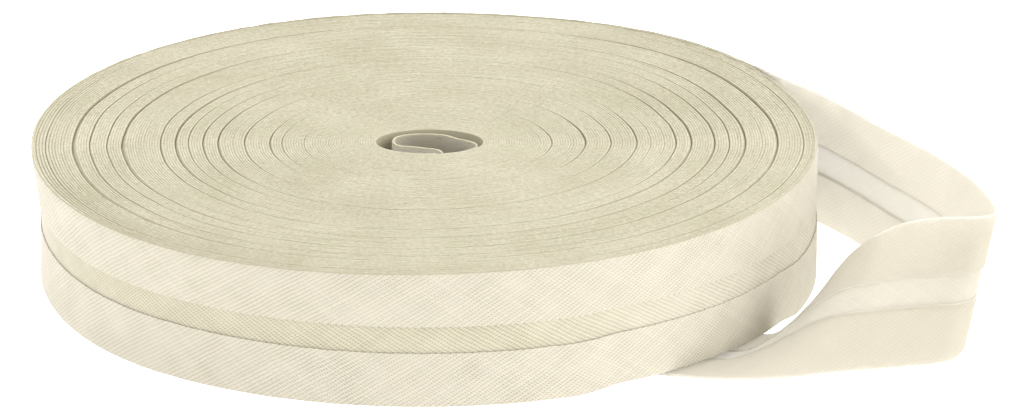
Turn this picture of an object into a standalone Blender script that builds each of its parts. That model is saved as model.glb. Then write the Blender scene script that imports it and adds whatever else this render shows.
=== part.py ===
"""A coreless roll of cotton bias binding, lying flat on a surface.

The tape is a strip of cloth cut on the bias, with both edges folded to the middle. Its outer end springs away
from the roll, turns back on itself, falls flat and is tucked under the roll's foot. Its inner end is doubled
back on itself in the small oval hole that is left at the centre.

Run it with: blender --background --python part.py
"""

from collections import namedtuple
from math import cos, hypot, pi, radians, sin, sqrt

import bpy
from mathutils import Vector

# Sizes are in millimetres. MM turns them into Blender's metres where points are made.
MM = 0.001

TAPE_WIDTH = 20.0
FLAP_WIDTH = 8.0
SHEET_THICKNESS = 1.0
PIECE_GAP = 0.3

ROLL_RADIUS = 57.4
TURN_PITCH = 0.4
RIM_ROUNDING = 0.5
STRIP_RECESS = 0.35

HOLE_CENTRE_X = 0.6
HOLE_CENTRE_Y = -1.0
HOLE_HALF_LENGTH = 7.8
HOLE_HALF_WIDTH = 5.3
HOLE_ROUNDING = 0.6

# Azimuths are in degrees, counter-clockwise from +X, seen from above.
LEAVES_AT = 37.5
FOOT_PULLED_IN = 0.8
PULLED_IN_AT = 187.0
PULLED_IN_SPREAD = 45.0

# The outer turns stand out a little where the loose end has slackened them.
SLACKENED_BY = 1.6
SLACKENED_AT = 49.0
SLACKENED_SPREAD = 36.0

# The underside is lifted over the tucked end of the tape, and comes down again over the two fades.
TUCK_FROM = -60.0
TUCK_TO = -26.25
TUCK_FADE = 7.5
TUCK_INNER_RADIUS = 43.0
TUCK_FADE_RADIUS = 38.0
TUCK_LIFT = SHEET_THICKNESS + PIECE_GAP + 0.1

ROLL_SEGMENTS = 96
SECTION_STEP = 1.6
SHEET_STRIPS = 6
FLOOR_CLEARANCE = 0.05

CLOTH_COLOUR = (0.80, 0.74, 0.58, 1.0)
FACE_COLOUR = (0.68, 0.62, 0.47, 1.0)
CLOTH_ROUGHNESS = 0.9

# Gaps between groups of turns in the top face. The inset is measured inwards from the rim, and the band is the
# group of turns just inside the gap, which stands a little above or below its neighbours.
Gap = namedtuple("Gap", "inset width depth widest_at band_rise")
GAPS = (
    Gap(5.6, 0.7, 1.1, 180.0, -0.15),
    Gap(9.2, 0.5, 0.7, 0.0, 0.10),
    Gap(13.0, 0.5, 0.8, 10.0, -0.05),
    Gap(18.0, 0.6, 0.9, 190.0, 0.15),
    Gap(22.4, 0.5, 0.7, 175.0, 0.00),
    Gap(26.4, 0.7, 1.0, 185.0, 0.20),
    Gap(33.8, 0.6, 0.9, 5.0, 0.05),
)

# The loose outer end, as lines across the tape from its lower to its upper edge, measured from the roll's axis.
# The bow is how far the middle of the line stands off the straight line, towards the tape's outer side.
Across = namedtuple("Across", "place lower_x lower_y upper_x upper_y upper_z bow")
LOOSE_END = (
    Across("springs away", 47.5, 36.4, 47.5, 36.4, 20.0, 0.0),
    Across("first bow", 52.7, 26.8, 52.7, 26.8, 20.0, 0.0),
    Across("past the rim", 57.6, 20.2, 57.6, 20.2, 20.0, 0.2),
    Across("flat stretch", 62.4, 12.4, 62.0, 13.0, 20.0, 0.3),
    Across("flat stretch", 67.0, 3.2, 66.9, 4.2, 20.0, 0.3),
    Across("flat stretch", 71.2, -6.4, 71.9, -3.8, 20.0, 0.2),
    Across("second bow", 74.6, -15.5, 76.6, -12.8, 20.0, 0.2),
    Across("second bow", 76.6, -23.5, 79.5, -20.2, 20.0, 0.2),
    Across("before the turn", 77.2, -29.5, 81.2, -27.2, 20.0, 0.2),
    Across("the turn", 76.9, -34.5, 81.6, -31.8, 20.0, 0.1),
    Across("after the turn", 75.1, -38.2, 79.6, -33.7, 20.0, 0.1),
    Across("leans back", 72.0, -40.1, 74.2, -33.4, 19.7, 0.4),
    Across("leans back", 67.4, -41.3, 69.3, -33.2, 19.0, 0.9),
    Across("falls back", 62.0, -42.5, 65.1, -33.4, 17.3, 1.5),
    Across("falls back", 57.0, -44.0, 61.9, -31.2, 14.2, 1.9),
    Across("falls back", 52.5, -45.5, 59.2, -29.6, 10.4, 1.8),
    Across("lies down", 48.0, -46.5, 56.7, -28.8, 6.2, 1.2),
    Across("lies down", 43.5, -46.7, 53.6, -28.5, 2.4, 0.5),
    Across("under the foot", 39.0, -46.0, 50.2, -28.4, 0.0, 0.0),
    Across("tucked", 34.5, -44.8, 45.0, -27.6, 0.0, 0.0),
    Across("hidden end", 30.0, -43.4, 39.6, -25.9, 0.0, 0.0),
)

# The loose inner end, a plan route from the roll's hole wall to the cut end.
Route = namedtuple("Route", "place x y")
INNER_END = (
    Route("leaves the wall", 7.2, -0.9),
    Route("back strand", 6.0, 0.3),
    Route("back strand", 4.4, 1.6),
    Route("back strand", 2.7, 2.75),
    Route("back strand", 1.0, 3.2),
    Route("back strand", -1.0, 3.25),
    Route("back strand", -3.0, 2.7),
    Route("turns back", -4.3, 1.4),
    Route("turns back", -4.5, -0.6),
    Route("front strand", -3.6, -1.9),
    Route("front strand", -2.3, -2.2),
    Route("front strand", -0.6, -2.7),
    Route("front strand", 1.1, -3.3),
    Route("cut end", 2.2, -4.1),
    Route("cut end", 2.6, -5.1),
)
INNER_END_DROP = 0.4


def clear_scene():
    for item in list(bpy.data.objects):
        bpy.data.objects.remove(item, do_unlink=True)


def cloth_material(name, colour):
    material = bpy.data.materials.new(name)
    material.use_nodes = True
    shader = material.node_tree.nodes["Principled BSDF"]
    shader.inputs["Base Color"].default_value = colour
    shader.inputs["Roughness"].default_value = CLOTH_ROUGHNESS
    shader.inputs["Metallic"].default_value = 0.0
    material.diffuse_color = colour
    return material


def mesh_object(name, points, faces, material):
    """One smooth-shaded object from points in millimetres."""
    mesh = bpy.data.meshes.new(name)
    mesh.from_pydata([Vector(point) * MM for point in points], [], faces)
    mesh.shade_smooth()
    mesh.set_sharp_from_angle(angle=radians(40))
    mesh.materials.append(material)
    item = bpy.data.objects.new(name, mesh)
    bpy.context.scene.collection.objects.link(item)
    return item


def degrees_apart(a, b):
    """The angle between two azimuths, from 0 to 180."""
    return abs((a - b + 180.0) % 360.0 - 180.0)


def fade(value, full_at, none_at):
    """1 up to full_at, 0 from none_at on, and a straight ramp between them."""
    return min(1.0, max(0.0, (none_at - value) / (none_at - full_at)))


def lobe(azimuth, centre, spread):
    """1 at the centre and 0 beyond the spread, with a smooth slope between them."""
    return 0.5 + 0.5 * cos(pi * min(1.0, degrees_apart(azimuth, centre) / spread))


def wall_radius(azimuth, height):
    """The roll's outer radius. It loses one turn in a full round. Its foot is pulled in at one side, and its turns
    are slackened at another."""
    turned = (azimuth - LEAVES_AT) % 360.0 / 360.0
    pulled = FOOT_PULLED_IN * (1.0 - height / TAPE_WIDTH) * lobe(azimuth, PULLED_IN_AT, PULLED_IN_SPREAD)
    slack = SLACKENED_BY * lobe(azimuth, SLACKENED_AT, SLACKENED_SPREAD)
    return ROLL_RADIUS - TURN_PITCH * turned - pulled + slack


def hole_radius(azimuth):
    """The distance from the roll's axis to the wall of the oval hole, whose centre lies a little off the axis."""
    direction_x = cos(radians(azimuth))
    direction_y = sin(radians(azimuth))
    squared = (direction_x / HOLE_HALF_LENGTH) ** 2 + (direction_y / HOLE_HALF_WIDTH) ** 2
    across = direction_x * HOLE_CENTRE_X / HOLE_HALF_LENGTH**2 + direction_y * HOLE_CENTRE_Y / HOLE_HALF_WIDTH**2
    beyond = (HOLE_CENTRE_X / HOLE_HALF_LENGTH) ** 2 + (HOLE_CENTRE_Y / HOLE_HALF_WIDTH) ** 2 - 1.0
    return (across + sqrt(across**2 - squared * beyond)) / squared


def tuck_lift(azimuth, radius):
    """How far the underside stands off the floor, over the tape that is tucked under it."""
    middle = (TUCK_FROM + TUCK_TO) / 2
    half = (TUCK_TO - TUCK_FROM) / 2
    around = fade(degrees_apart(azimuth, middle), half, half + TUCK_FADE)
    inwards = 1.0 - fade(radius, TUCK_FADE_RADIUS, TUCK_INNER_RADIUS)
    return TUCK_LIFT * around * inwards


def top_line(azimuth):
    """The top face from the hole out to the rim, as (radius, height), with its gaps between groups of turns."""
    hole = hole_radius(azimuth)
    rim = wall_radius(azimuth, TAPE_WIDTH)
    line = [
        (hole, TAPE_WIDTH - HOLE_ROUNDING),
        (hole + HOLE_ROUNDING, TAPE_WIDTH + GAPS[-1].band_rise - 0.1),
    ]
    for number in range(len(GAPS) - 1, -1, -1):
        gap = GAPS[number]
        centre = rim - gap.inset
        outer_band = GAPS[number - 1].band_rise if number else 0.0
        open_share = 1.0 - 0.75 * degrees_apart(azimuth, gap.widest_at) / 180.0
        half = gap.width / 2
        line.append((centre - half, TAPE_WIDTH + gap.band_rise))
        line.append((centre, TAPE_WIDTH - gap.depth * open_share))
        line.append((centre + half, TAPE_WIDTH + outer_band))
    line.append((rim - RIM_ROUNDING, TAPE_WIDTH))
    return line


def wall_line(azimuth):
    """The outer wall from the rim down to the foot, with the middle strip set back between the two flaps."""
    foot = tuck_lift(azimuth, ROLL_RADIUS)
    upper_flap = TAPE_WIDTH - FLAP_WIDTH
    heights_and_insets = (
        (TAPE_WIDTH - RIM_ROUNDING, 0.0),
        (upper_flap + 0.1, 0.0),
        (upper_flap - 0.1, STRIP_RECESS),
        (FLAP_WIDTH + 0.1, STRIP_RECESS),
        (FLAP_WIDTH - 0.1, 0.0),
        (foot + RIM_ROUNDING, 0.0),
        (foot, RIM_ROUNDING),
    )
    return [(wall_radius(azimuth, height) - inset, height) for height, inset in heights_and_insets]


def under_line(azimuth):
    """The underside from the foot in to the hole."""
    radii = (50.0, TUCK_INNER_RADIUS, TUCK_FADE_RADIUS, 24.0)
    line = [(radius, tuck_lift(azimuth, radius)) for radius in radii]
    line.append((hole_radius(azimuth), 0.0))
    return line


def make_roll(material, face_material):
    """The wound turns as one ring, made of one closed section at each azimuth."""
    points = []
    faces = []
    for step in range(ROLL_SEGMENTS):
        azimuth = 360.0 * step / ROLL_SEGMENTS
        section = top_line(azimuth) + wall_line(azimuth) + under_line(azimuth)
        direction = Vector((cos(radians(azimuth)), sin(radians(azimuth)), 0.0))
        points += [direction * radius + Vector((0.0, 0.0, height)) for radius, height in section]
    count = len(points) // ROLL_SEGMENTS
    top_count = len(top_line(0.0))
    for step in range(ROLL_SEGMENTS):
        here = step * count
        there = (step + 1) % ROLL_SEGMENTS * count
        for row in range(count):
            after = (row + 1) % count
            faces.append((here + row, here + after, there + after, there + row))
    roll = mesh_object("roll", points, faces, material)
    roll.data.materials.append(face_material)
    for face in roll.data.polygons:
        face.material_index = 1 if face.index % count < top_count else 0
    return roll


def smooth_rows(rows, step):
    """Rows of numbers read at about even steps from a smooth curve through the given rows."""
    knots = [0.0]
    for first, second in zip(rows, rows[1:]):
        knots.append(knots[-1] + (Vector(second) - Vector(first)).length)
    last = len(rows) - 1
    slopes = []
    for index in range(len(rows)):
        before = max(index - 1, 0)
        after = min(index + 1, last)
        slopes.append((Vector(rows[after]) - Vector(rows[before])) / (knots[after] - knots[before]))
    made = []
    for index in range(last):
        span = knots[index + 1] - knots[index]
        pieces = max(1, round(span / step))
        for piece in range(pieces + (index == last - 1)):
            t = piece / pieces
            made.append(
                Vector(rows[index]) * (2 * t**3 - 3 * t**2 + 1)
                + slopes[index] * span * (t**3 - 2 * t**2 + t)
                + Vector(rows[index + 1]) * (3 * t**2 - 2 * t**3)
                + slopes[index + 1] * span * (t**3 - t**2)
            )
    return made


def sheet_object(name, lines, material):
    """A closed sheet of even thickness on a grid of points: one line of points across the tape for each step."""
    across = len(lines[0])
    points = [point for line in lines for point in line]
    faces = []
    for row in range(len(lines) - 1):
        for column in range(across - 1):
            corner = row * across + column
            faces.append((corner, corner + 1, corner + across + 1, corner + across))
    sheet = mesh_object(name, points, faces, material)
    solidify = sheet.modifiers.new("Cloth thickness", "SOLIDIFY")
    solidify.thickness = SHEET_THICKNESS * MM
    solidify.offset = 0.0
    solidify.use_even_offset = True
    solidify.use_rim = True
    return sheet


def line_across(row):
    """Points from the lower to the upper edge at one place on the loose outer end."""
    lower = Vector((row[0], row[1], 0.0))
    upper = Vector((row[2], row[3], max(row[4], 0.0)))
    lean = hypot(upper.x - lower.x, upper.y - lower.y) / (upper - lower).length
    lift = Vector((0.0, 0.0, lean * SHEET_THICKNESS / 2 + FLOOR_CLEARANCE))
    points = []
    for number in range(SHEET_STRIPS + 1):
        share = number / SHEET_STRIPS
        point = lower.lerp(upper, share) + lift
        point.z += row[5] * 4 * share * (1 - share) * lean
        points.append(point)
    return points


def make_loose_end(material):
    """The stretch that stands on edge round the loop, leans back, falls flat and runs under the roll's foot."""
    rows = smooth_rows([row[1:] for row in LOOSE_END], SECTION_STEP)
    return sheet_object("loose_end", [line_across(row) for row in rows], material)


def make_inner_end(material):
    """The tape's other end, standing on edge in the hole and doubled back on itself."""
    route = smooth_rows([row[1:] for row in INNER_END], SECTION_STEP / 2)
    top = TAPE_WIDTH - INNER_END_DROP
    lines = [[Vector((x, y, FLOOR_CLEARANCE)), Vector((x, y, top))] for x, y in route]
    return sheet_object("inner_end", lines, material)


def stand_on_origin(items):
    """Moves the objects so that the middle of their common box, seen from above, is at the origin."""
    bpy.context.view_layer.update()
    graph = bpy.context.evaluated_depsgraph_get()
    corners = [Vector(corner) for item in items for corner in item.evaluated_get(graph).bound_box]
    middle_x = (min(c.x for c in corners) + max(c.x for c in corners)) / 2
    middle_y = (min(c.y for c in corners) + max(c.y for c in corners)) / 2
    for item in items:
        item.location = (-middle_x, -middle_y, 0.0)


def main():
    clear_scene()
    cloth = cloth_material("cloth", CLOTH_COLOUR)
    turn_edges = cloth_material("turn_edges", FACE_COLOUR)
    stand_on_origin([make_roll(cloth, turn_edges), make_loose_end(cloth), make_inner_end(cloth)])


main()
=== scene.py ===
"""A coreless roll of cotton bias binding, dressed for a plain pale studio.

The tape is a strip of plain-weave cotton cut on the bias, with both edges folded to the middle. Three pieces
make it: the wound turns, the outermost turn with its loose outer end, and the loose inner end in the centre
hole.
"""

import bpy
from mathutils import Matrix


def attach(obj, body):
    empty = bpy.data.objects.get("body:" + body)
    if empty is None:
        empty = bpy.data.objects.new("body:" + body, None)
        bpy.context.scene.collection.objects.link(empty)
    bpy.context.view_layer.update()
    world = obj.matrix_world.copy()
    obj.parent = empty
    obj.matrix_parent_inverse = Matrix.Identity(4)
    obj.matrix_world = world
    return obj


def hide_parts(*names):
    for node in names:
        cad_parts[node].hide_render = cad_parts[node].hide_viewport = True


bl_info = {
    "name": "Roll of bias binding",
    "version": (1, 0, 0),
    "blender": (4, 5, 0),
    "location": "View3D > Sidebar > Binding",
    "description": "Makes a wound roll of folded bias binding with two loose ends, and a plain stage",
    "category": "Object",
}

from collections import namedtuple
from functools import partial
from math import cos, hypot, pi, radians, sin, sqrt
from random import Random

import bpy
from mathutils import Matrix, Vector, noise

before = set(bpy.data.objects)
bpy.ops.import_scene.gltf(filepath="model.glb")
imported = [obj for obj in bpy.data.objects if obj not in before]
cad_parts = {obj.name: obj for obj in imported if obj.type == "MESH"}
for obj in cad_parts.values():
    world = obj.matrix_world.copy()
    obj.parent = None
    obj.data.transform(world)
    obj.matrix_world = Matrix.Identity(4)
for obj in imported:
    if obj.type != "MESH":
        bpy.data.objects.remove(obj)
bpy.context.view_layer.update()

# Shapes are worked out in millimetres, from the roll's own axis. MM turns them into Blender's metres.
MM = 0.001
ROLL_AXIS = Vector((-12.469, -0.1, 0.0))

# Where the tape stands on the floor, and the least height of any of its cloth.
FLOOR_CLEARANCE = 0.06
LEAST_HEIGHT = 0.02

# The roll, as in its solid. Azimuths are in degrees, counter-clockwise from +X, seen from above.
ROLL_RADIUS = 57.4
TURN_PITCH = 0.4
LEAVES_AT = 37.5
OVERLAP = 24.0
HOLE_CENTRE_X = 0.6
HOLE_CENTRE_Y = -1.0
HOLE_HALF_LENGTH = 7.8
HOLE_HALF_WIDTH = 5.3
INNER_LEAVES_AT = -75.0

# The roll's foot stands further in than its rim at the left.
FOOT_PULLED_IN = 1.3
PULLED_IN_AT = 187.0
PULLED_IN_SPREAD = 42.0

# At the front left only the upper flap stands out, and the wall below it keeps its place.
RIM_FLARE = 1.7
FLARE_AT = 232.0
FLARE_SPREAD = 52.0

# The outer turns stand out a little where the loose end has slackened them.
SLACKENED_BY = 1.6
SLACKENED_AT = 49.0
SLACKENED_SPREAD = 36.0

# The turns are squeezed upwards over the tucked end of the tape.
TUCK_FROM = -60.0
TUCK_TO = -26.25
TUCK_FADE = 7.5
TUCK_INNER_RADIUS = 43.0
TUCK_FADE_RADIUS = 38.0
TUCK_LIFT = 0.9

# Gaps between groups of turns. The inset is measured inwards from the rim. A gap opens at the roll's left
# and right by the widths given, narrows towards the front and closes at the back, the faster the greater its
# narrowing. The band is the group of turns just inside it, which stands a little above or below the others.
Gap = namedtuple("Gap", "inset left right narrowing band_rise")
GAPS = (
    Gap(2.2, 0.06, 0.12, 1.5, 0.01),
    Gap(6.1, 0.58, 0.52, 1.2, -0.03),
    Gap(8.9, 0.28, 0.06, 2.0, 0.01),
    Gap(11.2, 0.20, 0.40, 1.5, 0.02),
    Gap(13.9, 0.50, 0.20, 1.8, -0.02),
    Gap(16.2, 0.00, 0.34, 2.0, 0.01),
    Gap(19.6, 0.22, 0.38, 2.5, 0.03),
    Gap(21.8, 0.38, 0.20, 2.0, 0.00),
    Gap(23.9, 0.16, 0.06, 2.0, -0.01),
    Gap(25.7, 0.24, 0.06, 2.0, 0.01),
    Gap(28.2, 0.36, 0.26, 4.0, 0.04),
    Gap(32.1, 0.22, 0.20, 3.0, 0.01),
    Gap(35.8, 0.24, 0.32, 6.0, 0.01),
    Gap(38.0, 0.14, 0.05, 3.0, 0.00),
    Gap(41.2, 0.02, 0.17, 5.0, 0.00),
)
GAPS_CLOSE_AT = 90.0
GAP_SHARE_AT_FRONT = 0.22

# A gap is shallow, because the turn inside it bulges out to its neighbour below this depth.
GAP_DEPTH = 0.5

# The widths of the gaps change a little along them.
GAP_UNEVENNESS = 0.35
GAP_UNEVEN_LENGTH = 9.0

# Small gaps at about even steps over the top face, each somewhere within its step.
SMALL_GAPS = 22
SMALL_GAPS_FROM = 1.5
SMALL_GAPS_REACH = 47.0
SMALL_GAP_WIDEST = 0.06

# The outermost turns stand a little apart at the left. Their spacing is in turns.
OUTER_LOOSE_TURNS = 9
OUTER_LOOSE_FROM = 0.7
OUTER_LOOSE_SPACING = 1.3

# How far a single turn stands above or below its neighbours at most.
OWN_RISE = 0.012

# The turns just behind the outer tape start a little inside it and lean a little more than it does, to stay
# clear. Further in they stand upright.
RIM_CLEARANCE = 0.03
LEAN_MARGIN = 1.15
LEAN_REACHES = 9.0

# The turns wander in and out a little, alike over several turns.
WANDER = 0.30
WANDER_LENGTH = 13.0

# How far a step along a turn cuts inside its curve on average, and the fewest steps in a turn.
STEP_SAG = 0.0195
LEAST_STEPS = 34.0

# How far above its middle a turn's side has the corner that lets it bend in, as a share of half its height.
HOLLOW_CORNER = 0.2

# Steps across the section of the folded tape: each flap, each fold, and the back between the folds.
FLAP_STEPS = 6
FOLD_STEPS = 6
BACK_STEPS = 12

# The upper fold's place in the section's list of points, which starts at the lower flap's raw edge.
UPPER_FOLD_STARTS = FLAP_STEPS + FOLD_STEPS + BACK_STEPS
UPPER_FOLD_ENDS = UPPER_FOLD_STARTS + FOLD_STEPS

# On the wall the upper fold is set back a little, to lie with the other folds.
FOLD_SET_BACK = 0.2

# Air between the tape's two layers, more of it where the tape is loose.
LAYER_GAP = 0.02
OUTER_END_SPREAD = 0.06
INNER_END_SPREAD = 0.05

# The raw edges of both flaps wander, and then both folds, each at its own rate for each millimetre.
EDGE_WANDER = 0.10
EDGE_RATES = (0.9, 0.8, 0.35, 0.4)

# How freely light gets behind the tape on the wall, in the hole and at the outer end.
WALL_FREE = 0.1
INNER_END_FREE = 0.9
OUTER_END_FREE = 1.0

# The outer tape: degrees between its lines on the wall, millimetres between the rows of its mesh, and the
# greatest height of its upper edge.
WALL_STEP = 3.0
OUTER_TAPE_STEP = 1.5
OUTER_END_TOP = 20.2

# The loose outer end, as lines across the tape from its lower to its upper edge. The bow is how far the
# line's middle stands off a straight one.
Across = namedtuple("Across", "place lower_x lower_y upper_x upper_y upper_z bow")
LOOSE_END = (
    Across("first bow", 52.7, 26.6, 52.7, 26.6, 20.0, 0.0),
    Across("past the rim", 57.6, 20.2, 57.6, 20.2, 20.0, 0.2),
    Across("flat stretch", 62.4, 12.4, 62.0, 13.0, 20.0, 0.3),
    Across("flat stretch", 67.0, 3.2, 66.9, 4.2, 20.0, 0.3),
    Across("flat stretch", 71.2, -6.4, 71.9, -3.8, 20.0, 0.2),
    Across("second bow", 74.6, -15.5, 76.6, -12.8, 20.0, 0.2),
    Across("second bow", 76.6, -23.5, 79.5, -20.2, 20.0, 0.2),
    Across("before the turn", 77.2, -29.5, 81.2, -27.2, 20.0, 0.2),
    Across("the turn", 76.9, -34.5, 81.6, -31.8, 20.0, 0.1),
    Across("after the turn", 75.1, -38.2, 79.6, -33.7, 20.0, 0.1),
    Across("leans back", 72.0, -40.1, 74.2, -33.4, 19.7, 0.4),
    Across("leans back", 67.4, -41.3, 69.3, -33.2, 19.0, 0.9),
    Across("falls back", 62.0, -42.5, 65.1, -33.4, 17.3, 1.5),
    Across("falls back", 57.0, -44.0, 61.9, -31.2, 14.2, 1.9),
    Across("falls back", 52.5, -45.5, 59.2, -29.6, 10.4, 1.8),
    Across("lies down", 48.0, -46.5, 56.7, -28.8, 6.2, 1.2),
    Across("lies down", 43.5, -46.7, 53.6, -28.5, 2.4, 0.5),
    Across("under the foot", 39.0, -46.0, 50.2, -28.4, 0.0, 0.0),
    Across("tucked", 34.5, -44.8, 45.0, -27.6, 0.0, 0.0),
    Across("hidden end", 30.0, -43.4, 39.6, -25.9, 0.0, 0.0),
)

# The loose inner end, a plan route from its cut end to the hole's wall. Then it lies against that wall, and
# runs on a little behind the innermost turn.
Route = namedtuple("Route", "place x y")
INNER_END = (
    Route("cut end", 2.6, -5.1),
    Route("cut end", 2.2, -4.1),
    Route("front strand", 1.1, -3.3),
    Route("front strand", -0.6, -2.7),
    Route("front strand", -2.3, -2.2),
    Route("front strand", -3.6, -1.9),
    Route("turns back", -4.5, -0.6),
    Route("turns back", -4.3, 1.4),
    Route("back strand", -3.0, 2.7),
    Route("back strand", -1.0, 3.25),
    Route("back strand", 1.0, 3.2),
    Route("back strand", 2.7, 2.75),
    Route("back strand", 4.4, 1.6),
    Route("back strand", 6.0, 0.4),
    Route("leaves the wall", 7.35, -0.9),
)
INNER_END_DROP = 0.4
INNER_WALL_FROM = -16.0
INNER_WALL_STEP = 6.0
INNER_WALL_OVERLAP = 12.0
INNER_WALL_CLEARANCE = 0.45
INNER_TAPE_STEP = 0.4

# The stage: half the floor's width in metres, and the place that all lights face.
FLOOR_HALF = 4.0
LIGHTS_AIM_AT = Vector((0.0, 0.0, 0.01))

# The camera looks at a point a little above the floor, from far off and from the front.
CAMERA_TARGET = Vector((0.0002, 0.0, 0.009))
CAMERA_DISTANCE = 1.6
CAMERA_ELEVATION = 19.758
CAMERA_LENS = 386.9

# Tones of the folds that make the top face, greyer than the cloth and partly painted shade; of the light
# through them; and the painted shade of the turns' sides in the gaps.
FOLD_TONES_AND_SHADE = ("#9A947B", "#C9C4B0")
FOLD_THROUGH = "#F4EFDC"
SIDE_PAINTED_SHADE = "#A39C86"

# The painted shade of the strip between the flaps, and where along the tape it is deepest. It runs on a
# little under the flaps' raw edges, which wander.
STRIP_PAINTED_SHADE = (0.935, 0.935, 0.87)
STRIP_SHADE_DEEPEST_AT = 174.2
STRIP_MARGIN = 0.4

# What the settings of one kind share.
LENGTH = {"unit": "LENGTH", "subtype": "DISTANCE"}
SMALL_LENGTH = {**LENGTH, "precision": 5}
COLOUR = {"subtype": "COLOR", "size": 3, "min": 0.0, "max": 1.0}
POWER = {"unit": "POWER", "subtype": "POWER", "min": 0.0}


def linear(code):
    """A colour written as sRGB hex, as linear red, green and blue."""
    parts = [int(code[start : start + 2], 16) / 255 for start in (1, 3, 5)]
    return tuple(part / 12.92 if part <= 0.04045 else ((part + 0.055) / 1.055) ** 2.4 for part in parts)


class TapeSettings(bpy.types.PropertyGroup):
    """The folded tape."""

    width: bpy.props.FloatProperty(
        name="Folded width",
        description="Width of the tape from fold to fold",
        default=20 * MM,
        min=10 * MM,
        **LENGTH,
    )
    flap: bpy.props.FloatProperty(
        name="Flap width",
        description="Width of each edge that is folded to the middle",
        default=8 * MM,
        min=2 * MM,
        **LENGTH,
    )
    thickness: bpy.props.FloatProperty(
        name="Cloth thickness",
        description="Thickness of one layer of the cloth",
        default=0.18 * MM,
        min=0.05 * MM,
        **SMALL_LENGTH,
    )


class WeaveSettings(bpy.types.PropertyGroup):
    """The plain weave, whose threads cross the tape slantwise because the cloth is cut on the bias."""

    coarse_spacing: bpy.props.FloatProperty(
        name="Coarse thread spacing",
        description="Distance between the threads of the coarser set",
        default=0.547 * MM,
        precision=6,
        **LENGTH,
    )
    fine_spacing: bpy.props.FloatProperty(
        name="Fine thread spacing",
        description="Distance between the threads of the finer set",
        default=0.385 * MM,
        precision=6,
        **LENGTH,
    )
    coarse_angle: bpy.props.FloatProperty(
        name="Coarse thread slant",
        description="Angle between the coarser threads and the tape's length",
        default=radians(32.0),
        subtype="ANGLE",
    )
    fine_angle: bpy.props.FloatProperty(
        name="Fine thread slant",
        description="Angle between the finer threads and the tape's length",
        default=radians(35.5),
        subtype="ANGLE",
    )
    yarn: bpy.props.FloatVectorProperty(
        name="Yarn",
        description="Colour of the yarn where it lies on top",
        default=linear("#B9B3A4"),
        **COLOUR,
    )
    # Painted shade: the dark colour in the gaps between the threads stands for the shade seen through them.
    between: bpy.props.FloatVectorProperty(
        name="Between the yarns",
        description="Colour in the small gaps between the threads",
        default=linear("#867F66"),
        **COLOUR,
    )
    through: bpy.props.FloatVectorProperty(
        name="Light through the cloth",
        description="Tint of the light that comes through one layer of the cloth",
        default=linear("#FEFDFA"),
        **COLOUR,
    )


class RollSettings(bpy.types.PropertyGroup):
    """The wound turns."""

    turns: bpy.props.IntProperty(
        name="Turns", description="Whole turns of tape under the outermost one", default=117, min=10, max=160
    )
    thickness: bpy.props.FloatProperty(
        name="Wound thickness",
        description="Thickness of the folded tape as it is wound",
        default=0.43 * MM,
        **SMALL_LENGTH,
    )
    rounding: bpy.props.FloatProperty(
        name="Fold rounding", description="Radius of the folded edges", default=0.08 * MM, **SMALL_LENGTH
    )
    unevenness: bpy.props.FloatProperty(
        name="Unevenness",
        description="How far the folded edges wander up and down",
        default=0.10 * MM,
        **SMALL_LENGTH,
    )
    seed: bpy.props.IntProperty(
        name="Seed",
        description="Fixes the places of the small gaps and the wandering of the edges",
        default=7,
        min=0,
    )


class StageSettings(bpy.types.PropertyGroup):
    """The floor and the light."""

    floor: bpy.props.FloatVectorProperty(
        name="Floor", description="Colour of the floor", default=linear("#ACACAA"), **COLOUR
    )
    top_power: bpy.props.FloatProperty(
        name="Top light", description="Power of the wide soft light overhead", default=24.0, **POWER
    )
    left_power: bpy.props.FloatProperty(
        name="Left light", description="Power of the soft light at the left", default=14.0, **POWER
    )
    right_power: bpy.props.FloatProperty(
        name="Right light", description="Power of the large soft light at the right", default=30.0, **POWER
    )
    back_power: bpy.props.FloatProperty(
        name="Back light",
        description="Power of the wide panel behind, whose light comes through the loose cloth",
        default=66.0,
        **POWER,
    )
    sky: bpy.props.FloatProperty(
        name="Surrounding light",
        description="Strength of the even light from all round",
        default=0.75,
        min=0.0,
    )
    floor_glow: bpy.props.FloatProperty(
        name="Floor glow",
        description="Strength of the light that comes up through the floor",
        default=1.7,
        min=0.0,
    )


# Helpers


def add_node(tree, kind, sockets=(), **settings):
    """Adds a node with its settings and inputs. Those are nodes, sockets or values, in order or by name."""
    node = tree.nodes.new(kind)
    node.location = (190 * (len(tree.nodes) % 14), -220 * (len(tree.nodes) // 14))
    for field, value in settings.items():
        setattr(node, field, value)
    if not isinstance(sockets, dict):
        sockets = dict(enumerate(sockets))
    for key, value in sockets.items():
        if isinstance(value, bpy.types.Node):
            value = value.outputs[0]
        if isinstance(value, bpy.types.NodeSocket):
            tree.links.new(value, node.inputs[key])
        else:
            node.inputs[key].default_value = value
    return node


def degrees_apart(a, b):
    """The angle between two azimuths, from 0 to 180."""
    return abs((a - b + 180.0) % 360.0 - 180.0)


def fade(value, full_at, none_at):
    """1 up to full_at, 0 from none_at on, and a smooth ramp between them."""
    share = min(1.0, max(0.0, (none_at - value) / (none_at - full_at)))
    return share * share * (3 - 2 * share)


def around(azimuth, radius, height=0.0):
    """A place given by its azimuth and its distance from the roll's axis."""
    return Vector((radius * cos(radians(azimuth)), radius * sin(radians(azimuth)), height))


def lobe(azimuth, centre, spread):
    """1 at the centre and 0 beyond the spread, with a smooth slope between them."""
    return 0.5 + 0.5 * cos(pi * min(1.0, degrees_apart(azimuth, centre) / spread))


def foot_pulled_in(azimuth):
    """How much further in the roll's foot stands than its rim."""
    pulled = FOOT_PULLED_IN * lobe(azimuth, PULLED_IN_AT, PULLED_IN_SPREAD)
    return pulled + RIM_FLARE * lobe(azimuth, FLARE_AT, FLARE_SPREAD)


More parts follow.
